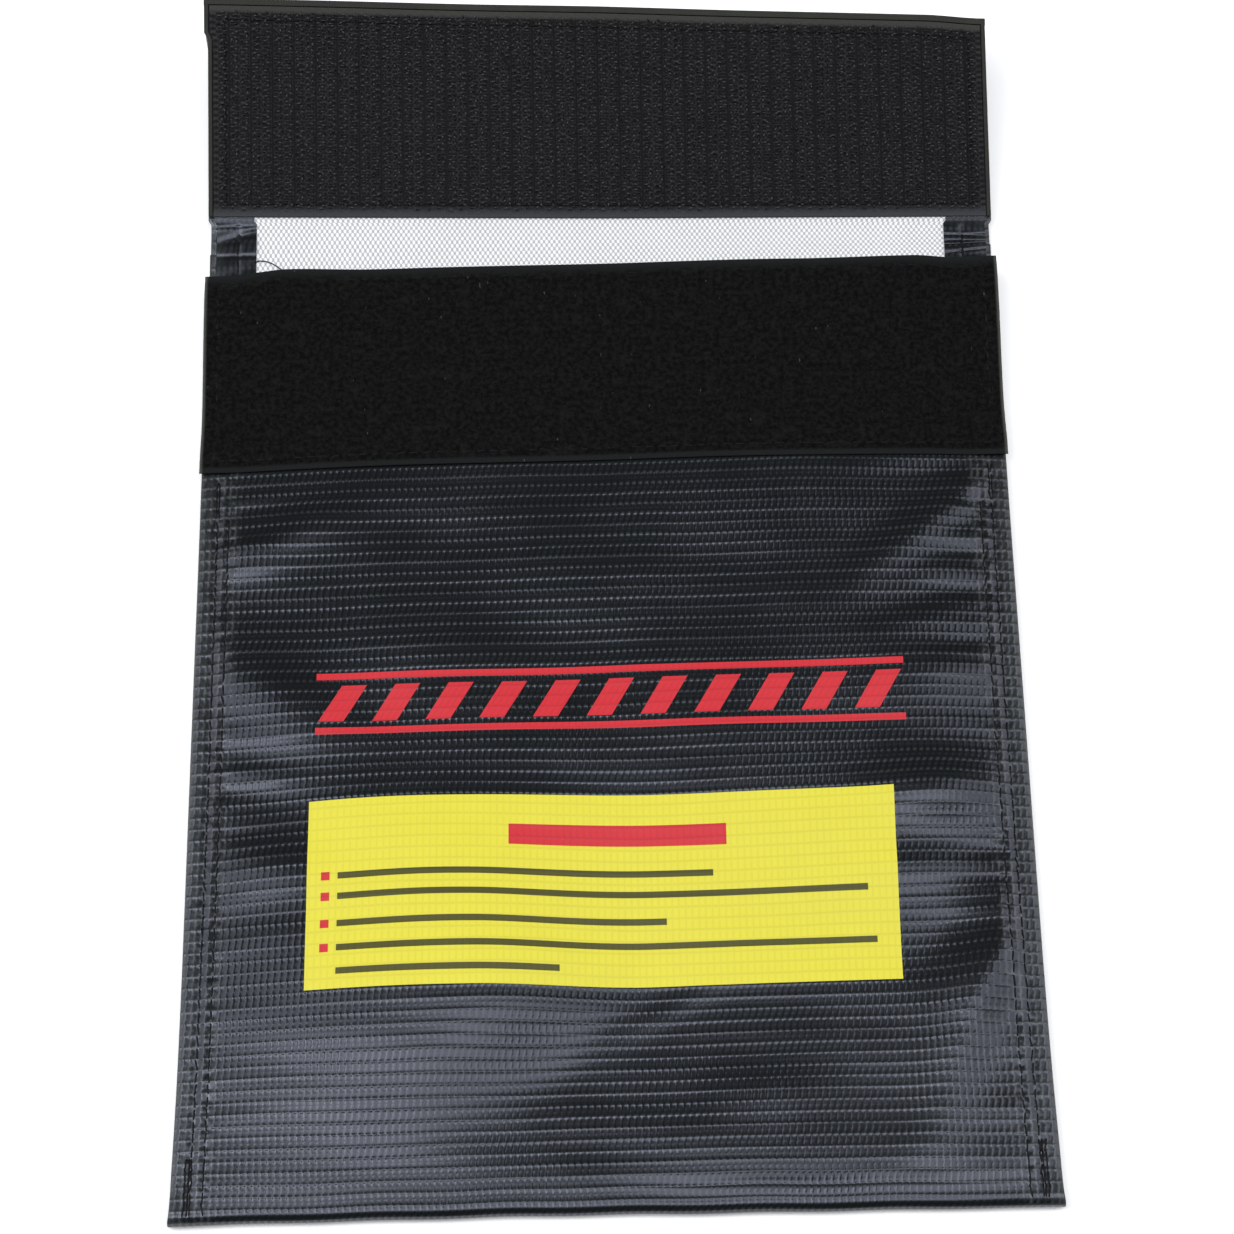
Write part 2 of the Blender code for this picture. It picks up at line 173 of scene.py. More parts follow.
SWELLS = (
    # side, row, slope, distance from the seam, its reach, width, height
    (-1, 152.0, 0.20, 15.0, 11.0, 5.5, 1.40), (-1, 150.0, 0.00, 4.0, 8.0, 5.0, 1.10),
    (-1, 121.0, -0.50, 9.0, 15.0, 9.5, 1.90),
    (-1, 90.0, 0.00, 9.0, 9.0, 4.0, -0.50), (-1, 76.0, 0.00, 12.0, 11.0, 6.0, 1.00),
    (-1, 44.0, 0.00, 40.0, 30.0, 20.0, 1.10),
    (1, 166.0, 0.00, 12.0, 10.0, 4.5, -0.40), (1, 161.3, -0.75, 12.0, 13.0, 5.0, 1.60),
    (1, 150.0, -0.30, 12.0, 12.0, 4.0, 0.60), (1, 142.0, -0.20, 13.0, 12.0, 5.0, 0.90),
    (1, 132.5, -0.20, 12.0, 12.0, 4.0, 0.80), (1, 118.0, 0.00, 12.0, 15.0, 10.0, 1.60),
    (1, 89.5, 0.00, 12.0, 13.0, 8.0, 2.50), (1, 72.5, 0.00, 19.0, 12.0, 4.0, 0.80),
    (1, 60.0, -0.30, 12.0, 13.0, 7.0, -0.70), (1, 53.0, -0.70, 4.0, 13.0, 10.0, 1.50),
    (1, 59.0, -2.10, 10.0, 10.0, 14.0, 2.00), (1, 29.0, -0.10, 50.0, 12.0, 6.0, 0.50),
)
PLEATS = (
    # side, row at the seam, slope, reach, width, height
    (-1, 162.0, 0.10, 9.0, 1.6, 0.24), (-1, 153.0, 0.14, 12.0, 2.0, -0.34),
    (-1, 145.0, 0.06, 12.0, 2.0, 0.36), (-1, 107.0, -0.10, 14.0, 2.2, 0.26),
    (-1, 99.0, -0.14, 12.0, 2.0, 0.24), (-1, 94.0, -0.06, 10.0, 1.8, -0.34),
    (-1, 84.0, 0.02, 10.0, 1.8, -0.24), (-1, 69.0, 0.08, 12.0, 2.2, 0.20),
    (-1, 58.0, 0.10, 12.0, 2.6, 0.18), (-1, 44.0, 0.04, 10.0, 2.2, 0.18),
    (-1, 22.0, 0.02, 10.0, 2.2, 0.18),
    (1, 162.5, 0.05, 9.0, 1.6, 0.24), (1, 158.0, 0.02, 8.0, 1.4, -0.30),
    (1, 149.0, 0.02, 10.0, 1.8, 0.30), (1, 145.5, 0.02, 9.0, 1.4, -0.34),
    (1, 139.5, 0.06, 10.0, 1.6, 0.28), (1, 136.0, 0.04, 9.0, 1.4, -0.32),
    (1, 128.0, 0.00, 10.0, 1.8, 0.28), (1, 124.0, -0.06, 9.0, 1.4, -0.28),
    (1, 117.0, 0.00, 12.0, 1.8, 0.26), (1, 104.0, 0.06, 11.0, 1.8, 0.24),
    (1, 75.5, 0.02, 6.0, 1.8, -0.36), (1, 69.0, 0.10, 8.0, 1.6, -0.24),
    (1, 62.0, 0.08, 9.0, 1.8, 0.20), (1, 34.0, -0.04, 12.0, 2.4, 0.20),
    (1, 20.0, -0.04, 12.0, 2.4, 0.18),
)
SEAM_EDGE = 83.0                                # where swells and pleats are measured from


def wrinkle(x, y):
    """Swells beside the side seams, pleats that fan in from them, and broad unevenness over the middle."""
    inside = ramp(88.0 - np.abs(x), 0.0, 7.0) * ramp(TAPE_LOW + 1.0 - y, 0.0, 6.0)
    total = 0.20 * waves(x, y, 46.0, 11) * ramp(82.0 - np.abs(x), 0.0, 30.0)
    total = total + 0.09 * waves(x, y, 13.0, 4, stretch=0.25)
    # a long low ridge down the upper middle, where the lining's edge pushes through
    total = total + 0.35 * bell(x - 0.10 * (y - 140.0), 8.0, 7.0) * bell(y, 146.0, 22.0)
    for side, row, slope, where, reach, width, height in SWELLS:
        depth = SEAM_EDGE - side * x
        total = total + height * bell(depth, where, reach) * bell(y - slope * depth, row, width)
    for side, row, slope, reach, width, height in PLEATS:
        depth = SEAM_EDGE - side * x
        inward = np.maximum(depth, 0.0)
        fall = height * bell(inward, 3.0, reach)
        total = total + fall * bell(y - slope * depth * 1.4, row, width * (1.0 + inward / 40.0))
    # one soft diagonal crease near the bottom right
    total = total + 0.35 * bell(y - 0.55 * (x - 8.0), 41.0, 2.6) * bell(x, 10.0, 9.0)
    return total * inside * ramp(y, 2.0, 14.0)


def room(x, y):
    """How far the front stands off the back for the pocket."""
    rise = 3.6 - 1.8 * ramp(y, 60.0, 130.0)
    left = 0.4 * ramp(y, 4.0, 56.0) + 0.6 * np.clip((y - 2.5) / 50.0, 0, 1)
    right = ramp(x, -5.0, 35.0) * 0.22 * ramp(y, 2.5, 8.5) - 0.27 * ramp(y, 7.0, 36.0)
    right = right + 1.27 * ramp(y, 50.0, 112.0)
    over = ramp(x - 0.94 * np.clip(y - 22.0, -22.0, 22.0), -50.0, -12.0)
    return 1.2 + rise * (left * (1 - over) + right * over) * (1.0 - np.clip(np.abs(x) / 82.0, 0, 1) ** 4)


def mouth_lift(x, y):
    """The mouth edge stands up a little, most at its corners."""
    corner = np.where(x < 0, 1.5, 2.6) * ramp(np.abs(x), 45.0, 90.0)
    return (0.3 + corner) * ramp(y, 184.0, 220.0)


def plan(x, y):
    """Where a row of the front panel lies along the bag: slightly out of square, and full at the mouth."""
    full = 0.40 * (1.0 - np.clip(np.abs(x) / 79.0, 0, 1) ** 12)
    full = (full + 0.75 * ramp(-x, 52.0, 76.0) * (1.0 - ramp(-x, 79.5, 84.0))) * ramp(y, 178.0, 219.0)
    tight = 0.45 * (1.0 - ramp(np.abs(x), 72.0, 80.0) * ramp(y, 206.0, 219.0)) * ramp(y, 120.0, 170.0)
    lean = 0.008 + 0.004 * bell(y, 85.0, 60.0)
    foot = (0.30 + 0.45 * (1.0 - (x / HALF) ** 2) - 0.55 * ramp(x, -40.0, 50.0)) * ramp(30.0 - y, 0.0, 24.0)
    sway = (0.9 * bell(x, -40.0, 24.0) - 0.6 * bell(x, 15.0, 28.0)) * bell(y, 78.0, 28.0)
    return y + lean * x + sway + full + tight + foot


def widen(x, y):
    """The bag is a little waisted, and flares at its bottom corners."""
    waist = -0.35 * bell(y, 105.0, 60.0) + 0.55 * bell(y, 0.0, 22.0)
    return x + waist * (x / HALF) ** 3 + 0.45 * bell(y, -1.0, 2.6) * (x / HALF) ** 9


def seam_relief(x, y):
    """Both rows of stitches pull the mesh down and pucker it; it bulges between them and outside."""
    out, total = np.abs(x), 0.0
    below = ramp(y, 3.0, 8.0) * ramp(TAPE_LOW + 2 - y, 0.0, 3.0)
    for at, depth in ((OUTER_SEAM, 0.12), (INNER_SEAM, 0.15)):
        pull = 0.75 + 0.25 * np.cos(math.tau * y / STITCH_PITCH)
        total = total - depth * bell(out, at, 0.6) * pull * ramp(y, 3.0, 8.0)
        total = total + 0.06 * waves(x * 0.5, y, 1.9, 21 + int(at), 9) * bell(out, at, 1.9) * below
    return total + (0.10 * bell(out, 84.7, 0.8) + 0.12 * bell(out, 88.3, 1.0)) * below


def weft_relief(x, y):
    """The weft rows stand out a little, least where the cloth is worn at the lower left."""
    weft = y + 0.35 * waves(x, y, 55.0, 8) + 0.004 * x
    worn = 1.0 - 0.65 * ramp(-x, 20.0, 62.0) * (1.0 - ramp(y, 30.0, 66.0))
    return 0.024 * (0.5 + 0.5 * np.cos(math.tau * weft / ROW)) ** 2 * ramp(y, 1.0, 3.5) * worn


def tape_sag(x, y):
    """The broad unevenness that the mouth and the loop tape share."""
    return 0.22 * waves(x, y, 70.0, 17) * ramp(90.0 - np.abs(x), 0.0, 20.0)


def front_z(x, y):
    """Height of the face of the front panel."""
    out = np.abs(x)
    outer = -0.60 * np.clip((out - 83.0) / 7.0, 0, 1) ** 1.3 * ramp(y, 2.0, 8.0)
    heel = (0.16 + 0.12 * ramp(x, -30.0, 20.0)) * ramp(y, 1.9, 9.5) * ramp(88.0 - out, 0.0, 6.0)
    under = (tape_sag(x, y) - 0.10) * ramp(y, TAPE_LOW - 4, TAPE_LOW + 2)
    cloth = wrinkle(x, y) + seam_relief(x, y) + weft_relief(x, y)
    return 2.5 + room(x, y) + mouth_lift(x, y) + cloth + outer + heel + under


def front(x, y, n):
    """A point n above the face of the front panel."""
    return np.stack([widen(x, y), FOLD_Y + plan(x, y), front_z(x, y) + n], -1)


def tape_z(x, y):
    """Height of the face under the loop tape: the tape bridges the small unevenness."""
    return 2.74 + room(x, y) + mouth_lift(x, y) + tape_sag(x, y)


def tape(x, y, n):
    """A point n above the face under the loop tape, which is narrowest half way up."""
    narrow = 0.994 - 0.005 * ramp(215.0 - y, 0.0, 46.0) + 0.003 * ramp(TAPE_LOW + 14.0 - y, 0.0, 14.0)
    return np.stack([x * narrow, FOLD_Y + plan(x, y), tape_z(x, y) + n], -1)


def wrapped(x, v, inset):
    """The front panel, which turns under along the bottom fold; inset is how deep below its face."""
    r = FOLD_R - inset
    turn = np.clip((FOLD_R - v) / FOLD_R, 0.0, math.pi)
    tail = np.maximum(FOLD_R - v - math.pi * FOLD_R, 0.0)
    uneven = 0.10 * waves(x, 0 * x, 30.0, 31, 6) * ramp(12.0 - v, 0.0, 8.0)
    y = np.where(v >= FOLD_R, v, FOLD_R - r * np.sin(turn) + tail)
    z = np.where(v >= FOLD_R, front_z(x, np.maximum(v, FOLD_R)) - inset, FOLD_R + r * np.cos(turn))
    return np.stack([widen(x, y), FOLD_Y + plan(x, y) + uneven, z], -1)


def level(surface, n):
    """The part of a layer that lies n above a surface, as grid_part takes it."""
    return lambda u, v: surface(u, v, n + 0 * u)


def joined(*rows):
    """Several runs of rows as one."""
    return np.unique(np.concatenate(rows))


# ---------------------------------------------------------------- meshes

def grid_part(us, vs, top, bottom, rim=0.25, keep=0.3):
    """A closed sheet. us run across and vs along; top and bottom give points; the rim is rounded."""
    u, v = np.meshgrid(us, vs)
    upper, lower = top(u, v), bottom(u, v)
    if rim:
        d = np.minimum(np.minimum(u - us[0], us[-1] - u), np.minimum(v - vs[0], vs[-1] - v))
        t = np.clip(d / rim, 0.0, 1.0)
        f = (keep + (1 - keep) * np.sqrt(1 - (1 - t) ** 2))[..., None]
        middle, half = (upper + lower) / 2, (upper - lower) / 2
        upper, lower = middle + half * f, middle - half * f
    rows, cols = u.shape
    size = rows * cols
    points = np.concatenate([upper.reshape(-1, 3), lower.reshape(-1, 3)])
    flat = np.stack([u.ravel(), v.ravel(), np.zeros(size)], -1)
    flat = np.concatenate([flat, flat - [0, 0, 1]])
    index = np.arange(size).reshape(rows, cols)
    a, b, c, d = index[:-1, :-1], index[:-1, 1:], index[1:, 1:], index[1:, :-1]
    face = np.stack([a, b, c, d], -1).reshape(-1, 4)
    ring = np.concatenate([index[0, :-1], index[:-1, -1], index[-1, :0:-1], index[:0:-1, 0]])
    after = np.roll(ring, -1)
    side = np.stack([ring, ring + size, after + size, after], -1)
    return points, np.concatenate([face, face[:, ::-1] + size, side]), flat


def frames(surface, u, v, n):
    """Points on a surface with its across, along and up directions."""
    u, v, n = (np.asarray(q, float) + np.zeros(np.shape(u)) for q in (u, v, n))
    base = surface(u, v, n)
    ex, ev = surface(u + 0.2, v, n) - base, surface(u, v + 0.2, n) - base
    ex /= np.linalg.norm(ex, axis=-1, keepdims=True)
    ev /= np.linalg.norm(ev, axis=-1, keepdims=True)
    up = np.cross(ex, ev)
    up /= np.linalg.norm(up, axis=-1, keepdims=True)
    return base, ex, np.cross(up, ex), up


def tube_part(base, along, side, up, path, radii, sides, flat, tall=1.0, long=1.0):
    """Many small closed tubes at once, all following path, which is (along, side, up) in millimetres.
    flat is each tube's place on the flat cloth; tall and long scale each tube."""
    path = np.asarray(path, float)
    count, rings = len(base), len(path)
    tall, long = np.ones(count) * tall, np.ones(count) * long
    tangent = np.gradient(path, axis=0)
    tangent /= np.linalg.norm(tangent, axis=1, keepdims=True)
    normal = np.cross(tangent, [0.0, 1.0, 0.0])
    normal /= np.linalg.norm(normal, axis=1, keepdims=True)
    binormal = np.cross(normal, tangent)
    angle = np.arange(sides) * math.tau / sides
    radii = np.asarray(radii, float) * np.ones(rings)
    ring = normal[:, None] * np.cos(angle)[:, None] + binormal[:, None] * np.sin(angle)[:, None]
    ring = ring * radii[:, None, None]
    line = path[None] * np.stack([long, np.ones(count), tall], -1)[:, None]
    local = line[:, :, None] + ring[None]       # tube, ring, side, and the three directions
    points = base[:, None, None] + local[..., 0:1] * along[:, None, None]
    points = points + local[..., 1:2] * side[:, None, None] + local[..., 2:3] * up[:, None, None]
    per = rings * sides
    quads = []
    for r in range(rings - 1):
        for s in range(sides):
            t = (s + 1) % sides
            quads.append((r * sides + s, (r + 1) * sides + s, (r + 1) * sides + t, r * sides + t))
    caps = [tuple(range(sides)), tuple((rings - 1) * sides + s for s in range(sides))[::-1]]
    quads, start = np.array(quads), np.arange(count)[:, None, None] * per
    faces = [(quads[None] + start).reshape(-1, 4)]
    faces += [(np.array(cap)[None] + np.arange(count)[:, None] * per) for cap in caps]
    where = np.repeat(flat, per, axis=0)
    where[:, 2] = np.tile(np.repeat(path[:, 2], sides), count)
    return points.reshape(-1, 3), faces, where


def make(name, parts, material, body=None, sharp=40.0):
    """One object of one or several closed parts; its flat attribute keeps the place on the flat cloth."""
    points, counts, corners, flats, start = [], [], [], [], 0
    for p, faces, flat in parts:
        for block in (faces if isinstance(faces, list) else [faces]):
            corners.append((np.asarray(block) + start).ravel())
            counts.append(np.full(len(block), np.asarray(block).shape[1]))
        points.append(p)
        flats.append(flat)
        start += len(p)
    points, corners, counts = np.concatenate(points), np.concatenate(corners), np.concatenate(counts)
    mesh = bpy.data.meshes.new(name)
    mesh.vertices.add(len(points))
    mesh.vertices.foreach_set("co", (points * MM).astype(np.float32).ravel())
    mesh.loops.add(len(corners))
    mesh.loops.foreach_set("vertex_index", corners.astype(np.int32))
    mesh.polygons.add(len(counts))
    starts = np.concatenate([[0], np.cumsum(counts)[:-1]])
    mesh.polygons.foreach_set("loop_start", starts.astype(np.int32))
    mesh.polygons.foreach_set("loop_total", counts.astype(np.int32))
    mesh.update(calc_edges=True)
    mesh.validate()
    layer = mesh.attributes.new("flat", "FLOAT_VECTOR", "POINT")
    layer.data.foreach_set("vector", (np.concatenate(flats) * MM).astype(np.float32).ravel())
    mesh.polygons.foreach_set("use_smooth", np.ones(len(mesh.polygons), bool))
    mesh.materials.append(material)
    obj = bpy.data.objects.new(name, mesh)
    bpy.context.scene.collection.objects.link(obj)
    if sharp:
        mesh.set_sharp_from_angle(angle=math.radians(sharp))
    if body:
        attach(obj, body)
    return obj


# ---------------------------------------------------------------- materials

class Net:
    """A material and short ways to add nodes to it."""

    def __init__(self, name, colour, roughness, specular=0.5):
        self.material = bpy.data.materials.new(name)
        self.material.use_nodes = True
        self.nodes, self.links = self.material.node_tree.nodes, self.material.node_tree.links
        self.shader = self.nodes["Principled BSDF"]
        self.shader.inputs["Base Color"].default_value = (*colour, 1)
        self.shader.inputs["Roughness"].default_value = roughness
        self.shader.inputs["Specular IOR Level"].default_value = specular
        attribute = self.nodes.new("ShaderNodeAttribute")
        attribute.attribute_name = "flat"
        scaled = self.nodes.new("ShaderNodeVectorMath")
        scaled.operation = "SCALE"
        scaled.inputs["Scale"].default_value = 1.0 / MM
        self.links.new(attribute.outputs["Vector"], scaled.inputs[0])
        self.place = scaled.outputs[0]
        split = self.nodes.new("ShaderNodeSeparateXYZ")
        self.links.new(self.place, split.inputs[0])
        self.x, self.y, self.height = split.outputs

    def put(self, socket, value):
        """Links an output to the socket, or sets it to a plain value."""
        if isinstance(value, bpy.types.NodeSocket):
            self.links.new(value, socket)
        else:
            socket.default_value = value

    def math(self, operation, a, b=0.0, c=0.0):
        node = self.nodes.new("ShaderNodeMath")
        node.operation = operation
        for socket, value in zip(node.inputs, (a, b, c)):
            self.put(socket, value)
        return node.outputs[0]

    def add(self, *terms):
        total = terms[0]
        for term in terms[1:]:
            total = self.math("ADD", total, term)
        return total

    def mul(self, *terms):
        total = terms[0]
        for term in terms[1:]:
            total = self.math("MULTIPLY", total, term)
        return total

    def scale(self, value, factor, base):
        """value * factor + base."""
        return self.math("MULTIPLY_ADD", value, factor, base)

    def most(self, a, b):
        return self.math("MAXIMUM", a, b)

    def rest(self, value):
        """What is left of 1."""
        return self.math("SUBTRACT", 1.0, value)

    def ridge(self, value, pitch, sharpness=1.0, shift=0.0):
        """A row of ridges from 0 to 1 along value."""
        wave = self.scale(self.math("COSINE", self.scale(value, math.tau / pitch, shift)), 0.5, 0.5)
        return self.math("POWER", wave, sharpness) if sharpness != 1.0 else wave

    def noise(self, scale, detail=2.0, stretch=(1, 1, 1), roughness=0.5):
        """Noise from 0 to 1 whose features are about 1 / scale millimetres."""
        mapping = self.nodes.new("ShaderNodeMapping")
        mapping.inputs["Scale"].default_value = stretch
        self.links.new(self.place, mapping.inputs["Vector"])
        node = self.nodes.new("ShaderNodeTexNoise")
        node.inputs["Scale"].default_value = scale
        node.inputs["Detail"].default_value = detail
        node.inputs["Roughness"].default_value = roughness
        self.links.new(mapping.outputs[0], node.inputs["Vector"])
        return node.outputs["Fac"]

    def band(self, value, low, high):
        """0 below low and 1 above high."""
        node = self.nodes.new("ShaderNodeMapRange")
        node.interpolation_type = "SMOOTHSTEP"
        self.put(node.inputs["Value"], value)
        node.inputs["From Min"].default_value, node.inputs["From Max"].default_value = low, high
        return node.outputs["Result"]

    def mix(self, factor, a, b):
        """Colour a where the factor is 0 and b where it is 1."""
        node = self.nodes.new("ShaderNodeMix")
        node.data_type = "RGBA"
        self.put(node.inputs["Factor"], factor)
        for socket, value in ((node.inputs[6], a), (node.inputs[7], b)):
            self.put(socket, value if isinstance(value, bpy.types.NodeSocket) else (*value, 1))
        return node.outputs[2]

    def colour(self, value):
        self.put(self.shader.inputs["Base Color"], value)

    def rough(self, low, high, factor):
        """Roughness from low to high as the factor goes from 0 to 1."""
        node = self.nodes.new("ShaderNodeMapRange")
        self.put(node.inputs["Value"], factor)
        node.inputs["To Min"].default_value, node.inputs["To Max"].default_value = low, high
        self.put(self.shader.inputs["Roughness"], node.outputs["Result"])

    def bump(self, height):
        """Height in millimetres."""
        node = self.nodes.new("ShaderNodeBump")
        node.inputs["Strength"].default_value = 1.0
        node.inputs["Distance"].default_value = MM
        self.put(node.inputs["Height"], height)
        self.links.new(node.outputs[0], self.shader.inputs["Normal"])


def mesh_height(net, row_height, bead_height, rib_height):
    """The coated mesh: beaded weft rows with fainter ones between, over warp ribs.
    Gives the height, the ticks of light along the rows, the ribs and the rows."""
    weft = net.add(net.y, net.mul(net.math("SUBTRACT", net.noise(0.018, 1.0), 0.5), 1.6))
    bead = net.ridge(net.scale(weft, -0.35, net.x), RIB)
    row = net.scale(net.ridge(weft, 2 * ROW, 14.0, math.pi), 0.55, net.ridge(weft, 2 * ROW, 14.0))
    line = net.ridge(weft, ROW, 9.0)
    fine = net.ridge(weft, ROW / 2, 2.5)
    sway = net.math("SINE", net.scale(weft, math.tau / ROW, 0.6))
    rib = net.ridge(net.scale(sway, 0.10, net.x), RIB, 2.0)
    patchy = net.band(net.noise(0.035, 2.0), 0.35, 0.65)
    beads = net.scale(bead, bead_height, row_height)
    height = net.mul(net.add(net.mul(row, 0.5), net.mul(line, 0.5)), beads)
    height = net.add(height, net.mul(rib, net.scale(patchy, rib_height * 0.5, rib_height * 0.5)))
    height = net.add(height, net.mul(fine, bead, 0.3 * bead_height), net.mul(net.noise(0.9, 3.0), 0.010))
    return height, net.mul(net.scale(fine, 0.40, row), bead), rib, line


def vinyl_material(name, rows, beads, ribs, rough, painted_highlights):
    """Black coated mesh. With the last flag set, painted highlights lie on the threads just inside the seams
    and on the ribs low at both sides.
    """
    net = Net(name, (0.006, 0.007, 0.008), 0.3, 0.5)
    height, ticks, rib, line = mesh_height(net, rows, beads, ribs)
    net.bump(height)
    net.rough(*rough, net.scale(rib, -0.7, net.scale(net.noise(0.12, 3.0), 0.3, 0.7)))
    net.shader.inputs["Specular Tint"].default_value = (0.80, 0.84, 1.0, 1)
    out = net.math("ABSOLUTE", net.x)
    # painted highlights: the beads along the rows are coloured lighter, ticks of painted light on the black,
    # faded at random
    fade = net.scale(net.band(net.noise(0.05, 2.0), 0.38, 0.62), 0.55, 0.45)
    tone = net.mix(net.mul(ticks, fade), (0.0043, 0.0050, 0.0052), (0.030, 0.036, 0.036))
    if painted_highlights:
        # painted highlight: rows and ribs just inside the seams, coloured lighter in patches
        seam_highlight = net.mul(net.most(line, net.mul(rib, 0.8)), net.band(net.noise(0.30, 3.0), 0.32, 0.70))
        tone = net.mix(net.mul(seam_highlight, net.band(out, 80.0, 83.0)), tone, (0.075, 0.080, 0.078))
        # painted highlight: ribs low at both sides, coloured lighter where they catch the light
        low = net.mul(net.rest(net.band(net.y, 18.0, 64.0)), net.band(net.y, 1.5, 4.0))
        upright = net.mul(rib, rib, rib, net.band(out, 36.0, 76.0), low, 0.6)
        tone = net.mix(upright, tone, (0.085, 0.090, 0.092))
    # lighter outside the seams, and plain at the rim
    tone = net.mix(net.mul(net.band(out, 86.4, 87.6), 0.25), tone, (0.040, 0.044, 0.040))
    net.colour(net.mix(net.band(out, 89.2, 89.5), tone, (0.040, 0.042, 0.035)))
    return net.material


def ink_material(name, light, dark):
    """Flat ink on the mesh, darker along its rows and ribs."""
    net = Net(name, light, 0.5, 0.3)
    height, _, _, line = mesh_height(net, 0.012, 0.020, 0.014)
    net.bump(height)
    grid = net.most(net.mul(line, 0.45), net.mul(net.ridge(net.x, RIB, 4.0), 0.3))
    net.colour(net.mix(net.add(grid, net.mul(net.noise(0.15, 3.0), 0.25)), light, dark))
    return net.material


def lining_material():
    """White glass cloth: light knots, grey between."""
    net = Net("glass_cloth", (0.72, 0.73, 0.74), 0.55, 0.3)
    one = net.mul(net.ridge(net.x, WEAVE_X), net.ridge(net.y, WEAVE_Y))
    two = net.mul(net.ridge(net.x, WEAVE_X, shift=math.pi), net.ridge(net.y, WEAVE_Y, shift=math.pi))
    weave = net.most(one, two)
    net.bump(net.mul(weave, 0.05))
    soft = net.scale(net.noise(0.08, 2.0), 0.12, -0.06)
    net.colour(net.mix(net.band(net.add(weave, soft), 0.16, 0.62), (0.46, 0.455, 0.45), (0.93, 0.935, 0.94)))
    return net.material


def pile_material():
    """Loop pile with a little lint, and a lighter rim all round."""
    net = Net("loop_pile", (0.008, 0.008, 0.008), 0.95, 0.05)
    tuft = net.noise(0.9, 4.0, roughness=0.65)
    clump = net.noise(0.30, 4.0, roughness=0.7)
    net.bump(net.add(net.mul(tuft, 0.4), net.mul(clump, 0.2)))
    tone = net.mix(net.band(tuft, 0.35, 0.7), (0.0030, 0.0030, 0.0030), (0.0100, 0.0100, 0.0096))
    tone = net.mix(net.mul(net.band(clump, 0.50, 0.72), 0.6), tone, (0.0125, 0.0130, 0.0110))
    low = net.rest(net.band(net.y, TAPE_LOW + 0.9, TAPE_LOW + 1.7))
    high = net.band(net.y, TAPE_HIGH - 3.7, TAPE_HIGH - 0.2)
    tone = net.mix(net.most(low, high), tone, (0.014, 0.015, 0.015))
    lint = net.band(net.noise(1.1, 1.0, (1.0, 0.35, 1.0)), 0.76, 0.80)
    tone = net.mix(lint, tone, (0.05, 0.05, 0.048))
    side = net.band(net.math("ABSOLUTE", net.x), TAPE_WIDE - 1.0, TAPE_WIDE - 0.1)
    net.colour(net.mix(side, tone, (0.080, 0.083, 0.072)))
    return net.material


def woven(name, dark, light, roughness, contrast=1.0):
    """Narrow woven nylon: its net and its colour so far."""
    net = Net(name, dark, roughness, 0.15)
    weave = net.mul(net.ridge(net.x, 0.62), net.ridge(net.y, 0.5))
    net.bump(net.add(net.mul(weave, 0.05), net.mul(net.noise(1.2, 2.0), 0.04)))
    fleck = net.add(net.mul(weave, 0.6), net.mul(net.noise(0.2, 3.0), 0.5))
    return net, net.mix(net.mul(fleck, contrast), dark, light)


def rim_material():
    """The turned edges of the flap."""
    net, tone = woven("turned_rim", (0.016, 0.017, 0.014), (0.044, 0.046, 0.036), 0.55)
    net.colour(tone)
    return net.material


def hook_ground_material():
    """The ground of the hook tape: light flecks round holes and gaps darkened with painted shade, and
    lighter selvages, the lower one partly a painted sheen.
    """
    light = (0.0240, 0.0240, 0.0255)
    net, tone = woven("hook_ground", (0.0007, 0.0007, 0.0008), light, 0.6, 0.1)
    pair = COLUMNS / 2
    start = -math.tau * (FIRST_HOOK + HOOK / 2) / HOOK
    holes = []
    for column, shift in ((0.65, start), (1.90, start + math.pi)):
        across = net.ridge(net.x, pair, shift=-math.tau * column / pair)
        holes.append(net.mul(across, net.ridge(net.y, HOOK, shift=shift)))
    # painted shade: dark at the foot of each hook and in the gaps between the groups of columns
    dark = net.most(net.band(net.most(*holes), 0.18, 0.60), net.band(net.ridge(net.x, COLUMNS), 0.93, 1.0))
    worn = net.scale(net.band(net.noise(0.9, 2.0), 0.35, 0.65), 0.9, 0.45)
    shade = net.mul(net.scale(net.noise(0.10, 2.0), 0.9, 0.45), worn)
    tone = net.mix(net.mul(net.rest(dark), shade), tone, light)
    # the lower selvage, lighter and bluish: partly its own weave, partly a painted sheen
    low = net.rest(net.band(net.y, HOOK_LOW - 0.1, HOOK_LOW + 3.3))
    tone = net.mix(low, tone, (0.042, 0.045, 0.050))
    high = net.mul(net.band(net.y, HOOK_HIGH - 2.1, HOOK_HIGH - 0.9), 0.85)
    net.colour(net.mix(high, tone, (0.046, 0.046, 0.040)))
    return net.material


def hook_material():
    """Nylon hooks: lit tips over dark stems."""
    net = Net("hook_filament", (0.03, 0.03, 0.03), 0.4, 0.4)
    shade = net.scale(net.band(net.noise(0.8, 1.0), 0.38, 0.62), 1.1, 0.1)
    # painted highlight: the upper part of each hook is coloured lighter than its black stem, patchily
    tip = net.mul(net.band(net.height, 0.55, 1.05), shade, net.scale(net.noise(0.10, 2.0), 1.0, 0.6))
    net.colour(net.mix(tip, (0.0015, 0.0015, 0.0017), (0.050, 0.050, 0.052)))
    net.bump(net.mul(net.noise(4.0, 1.0), 0.02))
    return net.material


def thread_material():
    """Black twisted thread."""
    dark, light = (0.0025, 0.0025, 0.003), (0.008, 0.008, 0.009)
    net = Net("thread", dark, 0.5, 0.12)
    net.bump(net.mul(net.ridge(net.add(net.x, net.y), 0.35), 0.03))
    net.colour(net.mix(net.noise(0.7, 2.0), dark, light))
    return net.material


